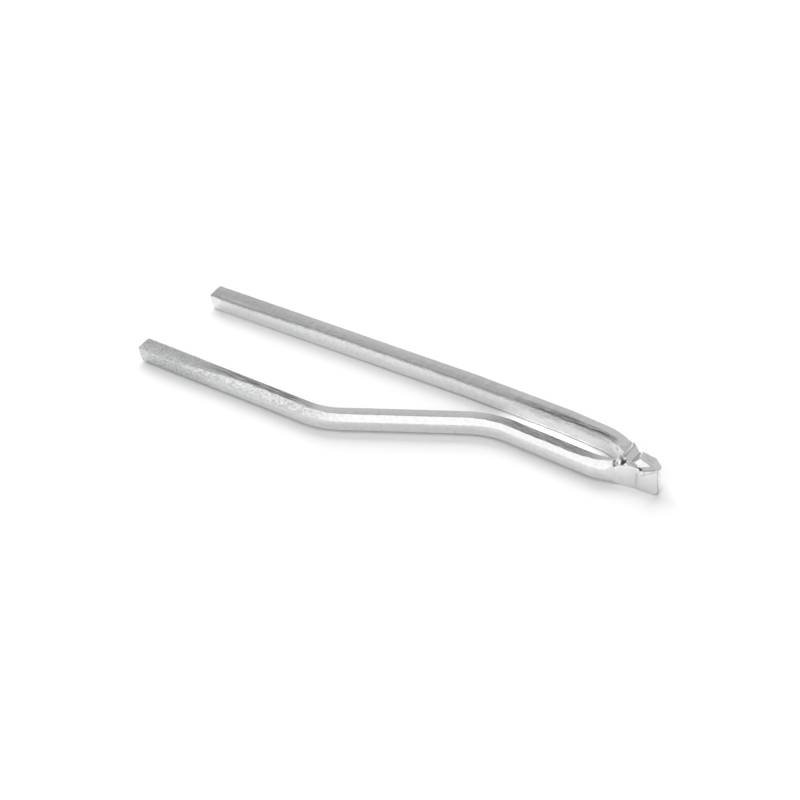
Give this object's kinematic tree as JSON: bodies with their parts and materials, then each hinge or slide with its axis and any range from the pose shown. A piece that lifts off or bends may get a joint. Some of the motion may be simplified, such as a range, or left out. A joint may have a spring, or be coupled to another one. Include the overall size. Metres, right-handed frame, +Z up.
{
  "type": "cable needle",
  "caption": "Two-pronged metal cable needle: a straight round prong and a cranked round prong, pressed together side by side into one flat-sided head.",
  "frame": {"origin": "middle of the bounding box's bottom face, under the prongs", "axes": "+X along the straight prong towards the pressed head, +Y from the cranked prong to the straight prong, +Z up"},
  "size_m": [0.1, 0.0276, 0.0053],
  "materials": {
    "wire": "drawn and polished bright, with fine marks along the wire"
  },
  "bodies": {
    "root": {"straight_prong": "wire", "cranked_prong": "wire"}
  },
  "joints": []
}
